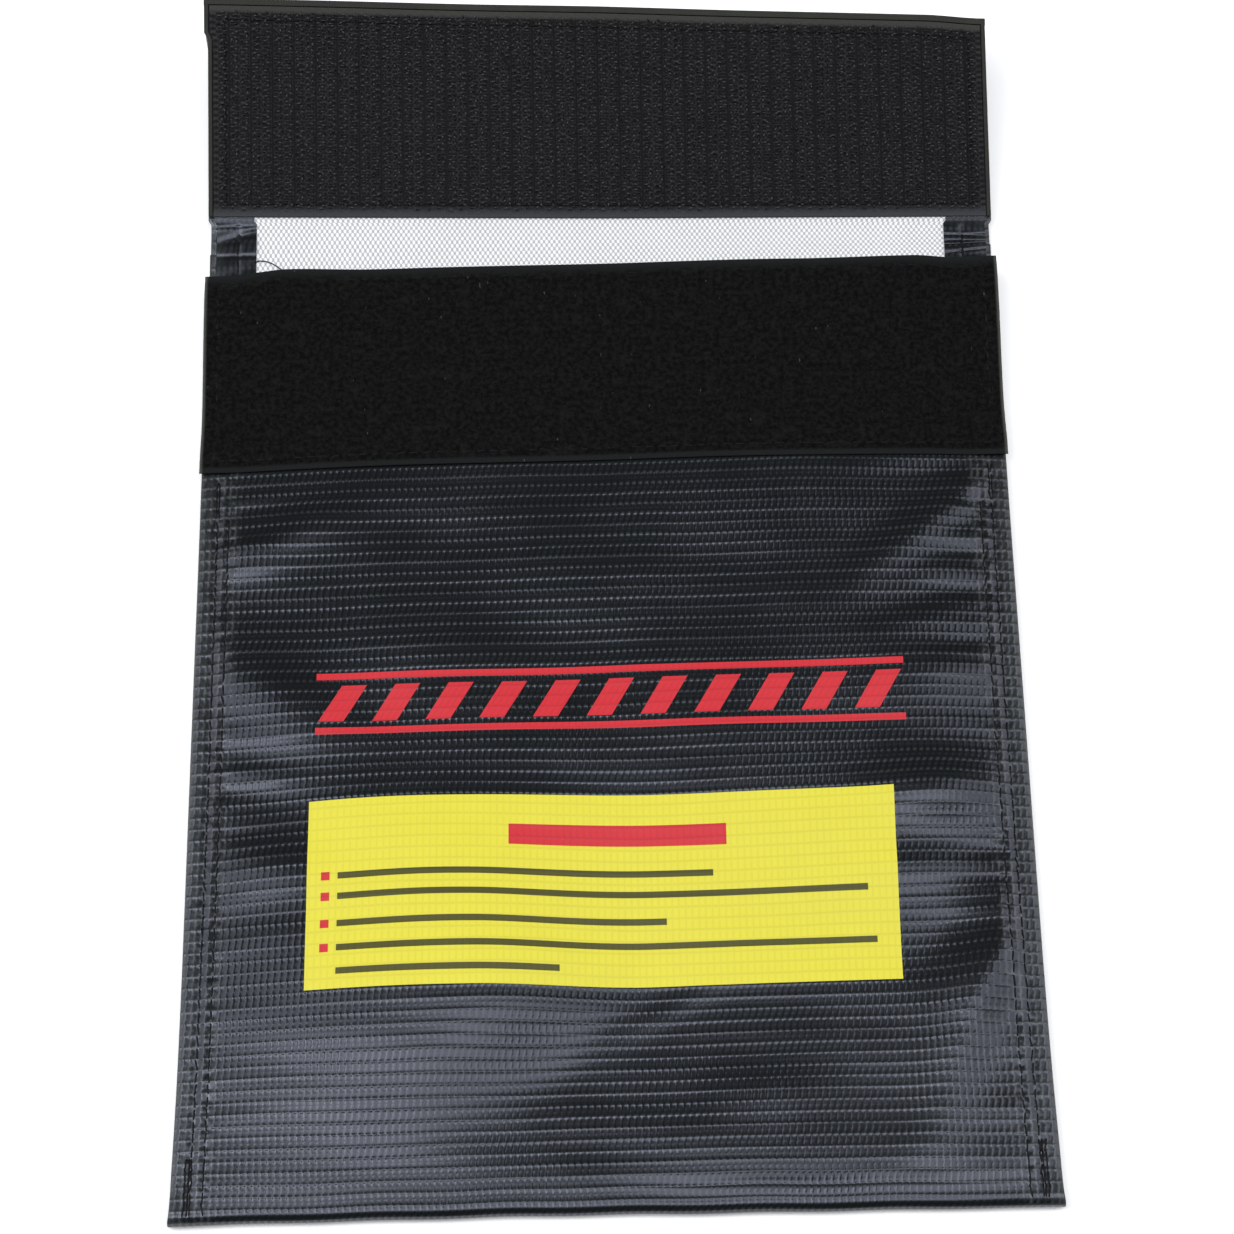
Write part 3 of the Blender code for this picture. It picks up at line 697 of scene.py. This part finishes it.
VINYL = vinyl_material("coated_mesh", 0.040, 0.038, 0.080, (0.175, 0.31), True)
TURNED = vinyl_material("turned_mesh", 0.004, 0.006, 0.006, (0.22, 0.32), False)
LINING = lining_material()
PILE = pile_material()
GROUND = hook_ground_material()
HOOKS = hook_material()
RIM = rim_material()
THREAD = thread_material()
YELLOW = ink_material("yellow_ink", (0.78, 0.71, 0.055), (0.62, 0.55, 0.05))
RED = ink_material("red_ink", (0.66, 0.030, 0.040), (0.44, 0.02, 0.03))
DARK_INK = ink_material("dark_ink", (0.085, 0.080, 0.012), (0.05, 0.05, 0.01))


# ---------------------------------------------------------------- pouch

def build_front():
    """The front panel with its bottom fold, its lining, and the hem inside the mouth."""
    side = steps(81.0, HALF, 0.4)
    us = joined(-side, np.linspace(-80.0, 80.0, 54), side)
    rows = steps(FOLD_R, TAPE_LOW + 6.0, ROW / 5.0)[2:]
    vs = joined(np.linspace(-5.1, FOLD_R, 15), rows, steps(TAPE_LOW + 8.0, MOUTH, 2.5))
    part = grid_part(us, vs, level(wrapped, 0.0), level(wrapped, FRONT_MESH))
    panel = make("front_panel", [part], VINYL, "pouch")
    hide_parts("front_shell", "bottom_fold")

    under = level(front, -FRONT_INSIDE)
    us, vs = steps(-88.0, 88.0, 3.0), steps(4.0, 209.0, 3.0)
    part = grid_part(us, vs, level(front, 0.35 - FRONT_INSIDE), under)
    lining = make("front_liner", [part], LINING, "pouch")
    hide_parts("front_lining")
    us, vs = steps(-89.4, 89.4, 3.0), steps(209.3, 219.0, 1.2)
    part = grid_part(us, vs, level(front, 0.45 - FRONT_INSIDE), under)
    hem = make("mouth_turning", [part], VINYL, "pouch")
    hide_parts("mouth_hem")


def build_back():
    """One length of mesh for the back, the neck and the flap's outside, cut in two half way up the neck.
    The lining over it is cut at the same place."""
    half = NECK / 2
    mesh = level(back, MESH_FACE), level(back, MESH_UNDER)
    vs = joined(steps(3.0 - CREASE, -6.0, 3.0), np.linspace(-6.0, half, 24))
    panel = make("back_panel", [grid_part(steps(-90.2, 90.2, 3.0), vs, *mesh)], VINYL)
    bend(panel, "neck")
    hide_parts("back_shell")

    vs = joined(np.linspace(half, NECK + 6.0, 24), steps(NECK + 6.0, FLAP_END - 0.2, 3.0))
    flap = make("flap_panel", [grid_part(steps(-HALF, HALF, 3.0), vs, *mesh)], VINYL)
    bend(flap, "flap")
    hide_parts("neck_shell", "flap_shell")

    def weave(u, v):
        turn_u, turn_v = math.tau * u / WEAVE_X, math.tau * v / WEAVE_Y
        knots = 0.5 + 0.25 * (np.cos(turn_u + turn_v) + np.cos(turn_u - turn_v))
        return back(u, v, CLOTH_FACE + 0.09 * knots * ramp(v, -2.2, -1.8) * ramp(NECK + 2.4 - v, 0.0, 0.4))

    under = level(back, CLOTH_UNDER)
    us = steps(-88.4, 88.4, WEAVE_X / 4.0)
    vs = joined(steps(4.0 - CREASE, -6.0, 12.0), np.linspace(-6.0, -2.0, 4), np.linspace(-2.0, half, 32))
    lower = make("back_liner", [grid_part(us, vs, weave, under)], LINING)
    bend(lower, "neck")
    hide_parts("back_lining")
    vs = joined(np.linspace(half, NECK + 2.6, 34), np.linspace(NECK + 2.6, NECK + 6.0, 5),
                steps(NECK + 6.0, HOOK_HIGH, 8.0))
    upper = make("flap_liner", [grid_part(us, vs, weave, under)], LINING)
    bend(upper, "flap")
    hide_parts("neck_lining", "flap_lining")


def bend(obj, b):
    """Bakes the object's place into its mesh; the cloth already turns at each crease in its shape."""
    x, y, z = JOINTS["neck_fold" if b == "neck" else "flap_fold"]
    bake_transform(obj)


def build_side_hems():
    """The seam allowances, turned in between the layers."""
    for side, word in SIDES:
        edges = sorted((side * 84.6, side * 89.6))
        part = grid_part(steps(*edges, 1.2), steps(3.4, 219.0, 3.0),
                         level(back_from_fold, 2.0), level(back_from_fold, 1.1))
        hem = make(word + "_allowance", [part], VINYL, "pouch")
        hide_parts(word + "_side_hem")


NECK_CREASES = {
    # slope, row, depth, width
    "left": ((0.24, 8.3, 0.36, 0.9), (0.02, 4.8, 0.16, 0.40), (0.06, 10.9, 0.14, 0.40)),
    "right": ((0.02, 8.0, 0.26, 0.55), (-0.03, 5.6, 0.28, 0.55), (-0.12, 3.0, 0.14, 0.40)),
}


def build_neck_hems():
    """The black edges turned over the lining on the neck, from inside the mouth to under the hook tape."""
    half = NECK / 2
    lower = joined(steps(-3.5, -0.5, 0.5), np.arange(-0.5, half, 0.22), [half])
    upper = joined(np.arange(half, NECK + 2.1, 0.22), [NECK + 2.2])
    for side, word in SIDES:
        def top(u, v):
            free = ramp(v, -1.0, 1.0) * ramp(NECK + 1.0 - v, 0.0, 1.5)
            crumple = 0.10 * waves(u * 0.35, v, 4.2, 41 + side, 8)
            for slope, row, depth, width in NECK_CREASES[word]:
                crumple = crumple - depth * bell(v + slope * (np.abs(u) - 84.0), row, width)
            crumple = crumple - 0.20 * bell(np.abs(u), NECK_SEAM, 0.45)
            return back(u, v, TURNED_FACE + (0.14 + np.clip(crumple, -0.42, 0.15)) * free)

        edges = sorted((side * 79.4, side * (88.75 + 0.2 * side)))
        for part, along, a, b in (("lower", lower, "pouch", "neck"), ("upper", upper, "neck", "flap")):
            sheet = grid_part(steps(*edges, 0.4), along, top, level(back, TURNED_UNDER), rim=0)
            hem = make("%s_neck_turning_%s" % (word, part), [sheet], TURNED)
            bend(hem, b)
            if part == "lower":
                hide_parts("neck_%s_hem" % word)


# ---------------------------------------------------------------- tapes

def build_loop_tape():
    """The loop tape: flat selvages and raised pile."""
    def top(u, v):
        pile = ramp(v, TAPE_LOW + 1.4, TAPE_LOW + 3.0) * ramp(TAPE_HIGH - v, 1.0, 2.4)
        tuft = 0.10 * waves(u, v, 2.2, 51, 14) + 0.10 * waves(u, v, 6.0, 52, 12)
        return tape(u, v, 0.42 + pile * (0.42 + tuft))

    us, vs = steps(-TAPE_WIDE, TAPE_WIDE, 0.8), steps(TAPE_LOW, TAPE_HIGH, 0.6)
    strip = make("loop_tape", [grid_part(us, vs, top, level(tape, 0.0))], PILE, "pouch")
    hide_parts("loop_strip")


HOOK_PATH = [(-0.05, 0, 0), (-0.10, 0, 0.45), (0.0, 0, 0.85),
             (0.25, 0, 1.05), (0.48, 0, 0.92), (0.52, 0, 0.66)]
HOOK_RADII = [0.16, 0.15, 0.16, 0.19, 0.18, 0.10]


def build_hook_tape():
    """The woven ground of the hook tape, and separate hooks on it that lean to both sides."""
    us, vs = steps(-88.8, 88.8, 1.6), steps(HOOK_LOW, HOOK_HIGH, 0.7)
    part = grid_part(us, vs, level(back, HOOK_FACE), level(back, HOOK_UNDER), rim=0.12)
    ground = make("hook_tape", [part], GROUND, "flap")
    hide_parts("hook_strip")

    rng = np.random.RandomState(3)
    us = (np.arange(-18, 18)[:, None] * COLUMNS + [0.68, 1.89, 3.11, 4.32]).ravel()
    us, vs = us[np.abs(us) < 88.0], np.arange(FIRST_HOOK, HOOK_HIGH - 1.4, HOOK)
    u, v = np.meshgrid(us, vs)
    v = v + HOOK / 2 * (np.arange(len(us)) % 2)[None]
    u, v = u.ravel() + rng.normal(0, 0.13, u.size), v.ravel() + rng.normal(0, 0.13, u.size)
    base, ex, ev, up = frames(back, u, v, 1.1)
    turn = np.where(np.arange(u.size) % 2 == 0, 0.5, math.pi - 0.5) + rng.normal(0, 0.55, u.size)
    along = ex * np.cos(turn)[:, None] + ev * np.sin(turn)[:, None]
    flat = np.stack([u, v, 0 * u], -1)
    part = tube_part(base, along, np.cross(up, along), up, HOOK_PATH, HOOK_RADII, 4, flat,
                     tall=rng.uniform(0.85, 1.05, u.size))
    hooks = make("hook_field", [part], HOOKS, "flap", sharp=None)


def build_flap_rims():
    """The turned edges of the flap, a thin rim round the hook tape."""
    us, vs = steps(-HALF, HALF, 2.0), steps(HOOK_HIGH + 0.1, FLAP_END, 0.3)
    part = grid_part(us, vs, level(back, 1.25), level(back, -0.1), rim=0.15)
    tip = make("flap_tip_turning", [part], RIM, "flap")
    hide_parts("flap_tip_hem")

    def top(u, v):
        return back(u, v, HOOK_FACE + 0.1 * waves(u, v, 4.0, 61))

    for side, word in SIDES:
        edges = sorted((side * 88.9, side * 89.9))
        us, vs = steps(*edges, 0.3), steps(HOOK_LOW, HOOK_HIGH + 0.5, 1.0)
        part = grid_part(us, vs, top, level(back, TURNED_UNDER), rim=0.15)
        rim = make(word + "_flap_turning", [part], RIM, "flap")
        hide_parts("flap_%s_hem" % word)


# ---------------------------------------------------------------- stitches

STITCH = [(-1.2, 0, -0.20), (-0.95, 0, 0.02), (-0.45, 0, 0.13),
          (0.45, 0, 0.13), (0.95, 0, 0.02), (1.2, 0, -0.20)]
LOOSE_END = [(-3.0, 0.3, 0.20), (-1.9, 0.75, 0.12), (-0.6, 0.7, 0),
             (0.8, 0.2, 0), (2.2, -0.7, 0), (3.4, -1.6, 0)]
TACKS = (
    # which end, from, to, height, distances from the outer seam
    ("bottom", 1.8, 13.5, 0.03, (-2.6, -0.1, 0.4, 1.1)),
    ("top", 158.5, 167.5, -0.05, (-0.3, 0.3)),
)


def stitches(surface, lines, n, pitch, radius, seed):
    """Separate stitches along straight lines (u0, v0, u1, v1) on a surface."""
    rng, parts = np.random.RandomState(seed), []
    for u0, v0, u1, v1 in lines:
        length = math.hypot(u1 - u0, v1 - v0)
        count = max(1, int(length / pitch))
        t = (np.arange(count) + 0.5) / count
        u, v = u0 + (u1 - u0) * t, v0 + (v1 - v0) * t
        base, ex, ev, up = frames(surface, u, v, n)
        au, av = (u1 - u0) / length, (v1 - v0) / length
        wag = rng.normal(0, 0.12, count)
        along = ex * (au - av * wag)[:, None] + ev * (av + au * wag)[:, None]
        flat = np.stack([u, v, 0 * u], -1)
        parts.append(tube_part(base, along, np.cross(up, along), up, STITCH, radius, 6, flat,
                               long=length / count / pitch))
    return parts


def upright(x, low, high):
    return x, low, x, high


def outline(x, low, high):
    """The four lines round a tape."""
    return [(-x, low, x, low), upright(x, low, high), (x, high, -x, high), upright(-x, high, low)]


def sewn(name, parts, node, body="pouch"):
    obj = make(name, parts, THREAD, body, sharp=60)
    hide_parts(node)


def build_stitches():
    """Both rows at each side with their back-stitching, the neck's seams and the stitching of the tapes."""
    for side, word in SIDES:
        for at, row in ((OUTER_SEAM, "outer"), (INNER_SEAM, "inner")):
            parts = stitches(front, [upright(side * at, 14.0, 158.0)], -0.01, STITCH_PITCH, 0.18, int(at))
            sewn("%s_%s_stitches" % (word, row), parts, "%s_%s_seam" % (word, row))
        for end, low, high, lift, offsets in TACKS:
            lines = [upright(side * (OUTER_SEAM + d), low, high) for d in offsets]
            sewn("%s_%s_backstitch" % (end, word), stitches(front, lines, lift, 2.2, 0.17, 7),
                 "%s_%s_tack" % (end, word))
        parts = stitches(back, [upright(side * NECK_SEAM, 1.2, NECK - 2.8)], 0.98, 2.5, 0.12, 9)
        if word == "left":      # a loose end of thread lies on the lining
            u, v = np.array([-76.8]), np.array([3.3])
            flat = np.stack([u, v, 0 * u], -1)
            parts.append(tube_part(*frames(back, u, v, 0.78), LOOSE_END, 0.13, 6, flat))
        sewn("%s_neck_stitches" % word, parts, "neck_%s_seam" % word, "neck")
    ring = outline(87.8, TAPE_LOW + 2.8, TAPE_HIGH - 2.8)
    sewn("loop_tape_stitches", stitches(tape, ring, 0.60, 2.9, 0.17, 12), "loop_strip_stitching")
    ring = outline(86.0, HOOK_LOW + 3.0, HOOK_HIGH - 3.4)
    sewn("hook_tape_stitches", stitches(back, ring, 1.32, 2.9, 0.17, 13), "hook_strip_stitching", "flap")


# ---------------------------------------------------------------- prints

def patch(u0, u1, v0, v1, layer, lean=0.0, across=1.6):
    """A thin printed shape on the front panel; lean slants it."""
    def slanted(u, v, n):
        return front(u + lean * (v - v0) / (v1 - v0), v, n)

    us, vs = steps(u0, u1, across, edge=False), steps(v0, v1, ROW / 5.0, edge=False)
    under, face = layer
    return grid_part(us, vs, level(slanted, face), level(slanted, under), rim=0)


RULES = ((72.8, 21.5), (68.3, 54.0), (62.3, 11.5), (57.0, 55.5), (51.9, -11.0))    # row, right end


def build_prints():
    """Blank bars where the label and the word would be; nothing can be read."""
    panel = make("yellow_panel", [patch(-64.0, 60.4, 48.1, 90.2, INK)], YELLOW, "pouch")
    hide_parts("instruction_panel")
    red = [patch(-21.5, 24.5, 78.9, 83.5, OVERPRINT)]
    red += [patch(-61.0, -59.2, row - 0.9, row + 0.9, OVERPRINT, across=0.5) for row, _ in RULES[:-1]]
    marks = make("panel_red_marks", red, RED, "pouch")
    dark = [patch(-57.5, right, row - 0.7, row + 0.7, OVERPRINT) for row, right in RULES]
    rules = make("panel_ruled_lines", dark, DARK_INK, "pouch")

    left, right, bars = -63.0, 64.0, 11
    parts = [patch(left, right, low, low + 1.6, INK) for low in (105.4, 118.4)]
    for i in range(bars):
        start = left + (right - left) / bars * (i + 0.5) - 5.2
        parts.append(patch(start, start + 5.4, 108.4, 117.0, INK, lean=5.0))
    band = make("title_bars", parts, RED, "pouch")
    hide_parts("title_band")


# ---------------------------------------------------------------- camera and light

CAMERA_FRONT, CAMERA_HIGH = 165.0, 656.0        # before the bottom fold, and above the table


def build_camera():
    data = bpy.data.cameras.new("camera")
    data.lens, data.sensor_width, data.sensor_fit = 95.75, 36.0, "HORIZONTAL"
    data.clip_start, data.clip_end = 0.01, 20.0
    camera = bpy.data.objects.new("camera", data)
    bpy.context.scene.collection.objects.link(camera)
    turn = Euler([math.radians(angle) for angle in (24.52, -0.18, -0.98)], "ZYX").to_matrix().to_4x4()
    place = 0, (FOLD_Y - CAMERA_FRONT) * MM, CAMERA_HIGH * MM
    camera.matrix_world = Matrix.Translation(place) @ turn
    bpy.context.scene.camera = camera


def softbox(name, place, target, width, height, radiance, tint):
    """A rectangular lamp, sized in metres, that faces the target."""
    data = bpy.data.lights.new(name, "AREA")
    data.shape, data.size, data.size_y = "RECTANGLE", width, height
    data.energy, data.color = radiance * math.pi * width * height, tint
    lamp = bpy.data.objects.new(name, data)
    bpy.context.scene.collection.objects.link(lamp)
    lamp.location = place
    lamp.rotation_mode = "QUATERNION"
    lamp.rotation_quaternion = (Vector(target) - Vector(place)).to_track_quat("-Z", "Y")


def build_studio():
    """A white table, a dim room and four soft lamps."""
    mesh = bpy.data.meshes.new("floor")
    corners = [(x, y, -0.0002) for x, y in ((-3, -3), (3, -3), (3, 3), (-3, 3))]
    mesh.from_pydata(corners, [], [(0, 1, 2, 3)])
    floor = bpy.data.objects.new("floor", mesh)
    bpy.context.scene.collection.objects.link(floor)
    paint = bpy.data.materials.new("floor_paint")
    paint.use_nodes = True
    shader = paint.node_tree.nodes["Principled BSDF"]
    shader.inputs["Base Color"].default_value = (0.9, 0.9, 0.9, 1)
    shader.inputs["Roughness"].default_value = 0.9
    shader.inputs["Specular IOR Level"].default_value = 0.1
    shader.inputs["Emission Color"].default_value = (1, 1, 1, 1)
    shader.inputs["Emission Strength"].default_value = 0.30
    mesh.materials.append(paint)
    world = bpy.data.worlds.new("world")
    bpy.context.scene.world = world
    world.use_nodes = True
    world.node_tree.nodes["Background"].inputs[0].default_value = (0.095, 0.098, 0.10, 1)
    softbox("top_box", (-0.10, -0.17, 1.15), (-0.10, -0.30, 0), 1.3, 0.44, 4.6, (0.95, 0.965, 1.0))
    softbox("top_left_box", (-0.46, -0.10, 1.10), (-0.46, -0.30, 0), 0.35, 0.4, 3.2, (0.95, 0.965, 1.0))
    softbox("left_box", (-1.00, 0.20, 0.72), (0, 0, 0), 0.8, 1.5, 2.3, (0.95, 0.96, 1.0))
    softbox("right_box", (1.00, 0.20, 0.72), (0, 0, 0), 0.8, 1.5, 2.3, (0.95, 0.96, 1.0))
    bpy.context.scene.view_settings.view_transform = "Standard"
    bpy.context.scene.view_settings.look = "None"


build_camera()
build_studio()
build_back()
build_front()
build_side_hems()
build_neck_hems()
build_loop_tape()
build_hook_tape()
build_flap_rims()
build_stitches()
build_prints()
